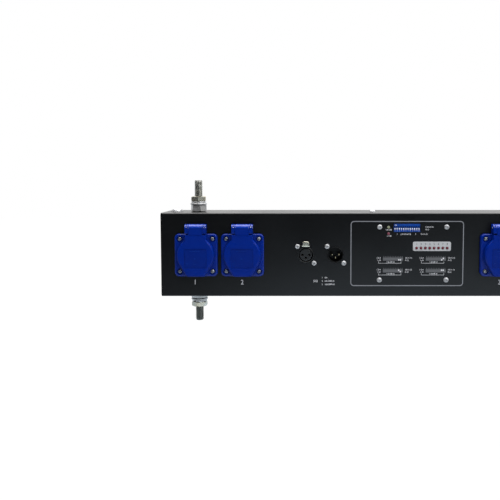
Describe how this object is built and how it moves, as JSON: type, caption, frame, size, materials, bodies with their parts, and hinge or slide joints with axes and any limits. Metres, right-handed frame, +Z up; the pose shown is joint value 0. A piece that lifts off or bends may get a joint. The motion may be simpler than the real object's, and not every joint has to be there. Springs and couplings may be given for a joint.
{
  "type": "dimmer pack",
  "caption": "Long black bar-shaped dimmer pack with blue lidded mains outlets, lamp studs, a control panel and a stand bracket.",
  "frame": {"origin": "seat of the stand spigot, inside the sleeve under the middle of the bar", "axes": "+X along the bar, from outlet 1 towards outlet 8; -Y out of the front with the outlets; +Z up"},
  "size_m": [1.5, 0.0963, 0.326],
  "materials": {
    "housing_paint": "satin black powder coat",
    "socket_blue": "moulded blue plastic",
    "zinc_steel": "zinc plated",
    "black_plastic": "moulded black plastic",
    "latch_metal": "nickel plated",
    "switch_blue": "moulded blue plastic",
    "white_plastic": "moulded white plastic",
    "strip_grey": "light grey plastic",
    "circuit_board": "solder mask",
    "aluminium": "extruded"
  },
  "bodies": {
    "bar": {"housing": "housing_paint", "rear_cover": "housing_paint", "socket_1": "socket_blue", "socket_2": "socket_blue", "socket_3": "socket_blue", "socket_4": "socket_blue", "socket_5": "socket_blue", "socket_6": "socket_blue", "socket_7": "socket_blue", "socket_8": "socket_blue", "stud_top_1": "zinc_steel", "stud_bottom_1": "zinc_steel", "nuts_top_1": "zinc_steel", "nuts_bottom_1": "zinc_steel", "stud_top_2": "zinc_steel", "stud_bottom_2": "zinc_steel", "nuts_top_2": "zinc_steel", "nuts_bottom_2": "zinc_steel", "stud_top_3": "zinc_steel", "stud_bottom_3": "zinc_steel", "nuts_top_3": "zinc_steel", "nuts_bottom_3": "zinc_steel", "stud_top_4": "zinc_steel", "stud_bottom_4": "zinc_steel", "nuts_top_4": "zinc_steel", "nuts_bottom_4": "zinc_steel", "signal_outlet": "black_plastic", "signal_inlet": "black_plastic", "slide_switch": "switch_blue", "channel_strip": "strip_grey", "control_board": "circuit_board", "mains_inlet": "black_plastic", "fuse_strip_left": "white_plastic", "dimmer_board_left": "circuit_board", "heat_sink_left": "aluminium", "fuse_strip_right": "white_plastic", "dimmer_board_right": "circuit_board", "heat_sink_right": "aluminium", "stand_bracket": "housing_paint"},
    "lid_1": {"socket_lid_1": "socket_blue"},
    "lid_2": {"socket_lid_2": "socket_blue"},
    "lid_3": {"socket_lid_3": "socket_blue"},
    "lid_4": {"socket_lid_4": "socket_blue"},
    "lid_5": {"socket_lid_5": "socket_blue"},
    "lid_6": {"socket_lid_6": "socket_blue"},
    "lid_7": {"socket_lid_7": "socket_blue"},
    "lid_8": {"socket_lid_8": "socket_blue"},
    "way_1": {"slider_1": "white_plastic"},
    "way_2": {"slider_2": "white_plastic"},
    "way_3": {"slider_3": "white_plastic"},
    "way_4": {"slider_4": "white_plastic"},
    "way_5": {"slider_5": "white_plastic"},
    "way_6": {"slider_6": "white_plastic"},
    "way_7": {"slider_7": "white_plastic"},
    "way_8": {"slider_8": "white_plastic"},
    "way_9": {"slider_9": "white_plastic"},
    "way_10": {"slider_10": "white_plastic"},
    "way_11": {"slider_11": "white_plastic"},
    "way_12": {"slider_12": "white_plastic"},
    "latch": {"outlet_latch": "latch_metal"}
  },
  "joints": [
    {"name": "lid_1_hinge", "type": "hinge", "parent": "bar", "child": "lid_1", "pos_m": [-0.7083, -0.0406, 0.1412], "axis": [-1, 0, 0], "range_deg": [0, 100], "stiffness_Nm_per_rad": 0.01, "springref_deg": -20.05},
    {"name": "lid_2_hinge", "type": "hinge", "parent": "bar", "child": "lid_2", "pos_m": [-0.6543, -0.0406, 0.1412], "axis": [-1, 0, 0], "range_deg": [0, 100], "stiffness_Nm_per_rad": 0.01, "springref_deg": -20.05},
    {"name": "lid_3_hinge", "type": "hinge", "parent": "bar", "child": "lid_3", "pos_m": [-0.3523, -0.0406, 0.1412], "axis": [-1, 0, 0], "range_deg": [0, 100], "stiffness_Nm_per_rad": 0.01, "springref_deg": -20.05},
    {"name": "lid_4_hinge", "type": "hinge", "parent": "bar", "child": "lid_4", "pos_m": [-0.2983, -0.0406, 0.1412], "axis": [-1, 0, 0], "range_deg": [0, 100], "stiffness_Nm_per_rad": 0.01, "springref_deg": -20.05},
    {"name": "lid_5_hinge", "type": "hinge", "parent": "bar", "child": "lid_5", "pos_m": [0.2983, -0.0406, 0.1412], "axis": [-1, 0, 0], "range_deg": [0, 100], "stiffness_Nm_per_rad": 0.01, "springref_deg": -20.05},
    {"name": "lid_6_hinge", "type": "hinge", "parent": "bar", "child": "lid_6", "pos_m": [0.3523, -0.0406, 0.1412], "axis": [-1, 0, 0], "range_deg": [0, 100], "stiffness_Nm_per_rad": 0.01, "springref_deg": -20.05},
    {"name": "lid_7_hinge", "type": "hinge", "parent": "bar", "child": "lid_7", "pos_m": [0.6543, -0.0406, 0.1412], "axis": [-1, 0, 0], "range_deg": [0, 100], "stiffness_Nm_per_rad": 0.01, "springref_deg": -20.05},
    {"name": "lid_8_hinge", "type": "hinge", "parent": "bar", "child": "lid_8", "pos_m": [0.7083, -0.0406, 0.1412], "axis": [-1, 0, 0], "range_deg": [0, 100], "stiffness_Nm_per_rad": 0.01, "springref_deg": -20.05},
    {"name": "way_1_slide", "type": "slide", "parent": "bar", "child": "way_1", "axis": [0, 0, 1], "range_m": [0, 0.002]},
    {"name": "way_2_slide", "type": "slide", "parent": "bar", "child": "way_2", "axis": [0, 0, 1], "range_m": [0, 0.002]},
    {"name": "way_3_slide", "type": "slide", "parent": "bar", "child": "way_3", "axis": [0, 0, 1], "range_m": [0, 0.002]},
    {"name": "way_4_slide", "type": "slide", "parent": "bar", "child": "way_4", "axis": [0, 0, 1], "range_m": [0, 0.002]},
    {"name": "way_5_slide", "type": "slide", "parent": "bar", "child": "way_5", "axis": [0, 0, 1], "range_m": [0, 0.002]},
    {"name": "way_6_slide", "type": "slide", "parent": "bar", "child": "way_6", "axis": [0, 0, 1], "range_m": [0, 0.002]},
    {"name": "way_7_slide", "type": "slide", "parent": "bar", "child": "way_7", "axis": [0, 0, 1], "range_m": [0, 0.002]},
    {"name": "way_8_slide", "type": "slide", "parent": "bar", "child": "way_8", "axis": [0, 0, 1], "range_m": [0, 0.002]},
    {"name": "way_9_slide", "type": "slide", "parent": "bar", "child": "way_9", "axis": [0, 0, 1], "range_m": [0, 0.002]},
    {"name": "way_10_slide", "type": "slide", "parent": "bar", "child": "way_10", "axis": [0, 0, 1], "range_m": [0, 0.002]},
    {"name": "way_11_slide", "type": "slide", "parent": "bar", "child": "way_11", "axis": [0, 0, 1], "range_m": [0, 0.002]},
    {"name": "way_12_slide", "type": "slide", "parent": "bar", "child": "way_12", "axis": [0, 0, 1], "range_m": [0, 0.002]},
    {"name": "latch_push", "type": "slide", "parent": "bar", "child": "latch", "axis": [0, 1, 0], "range_m": [0, 0.0015], "stiffness_N_per_m": 200, "springref_m": -0.001}
  ]
}
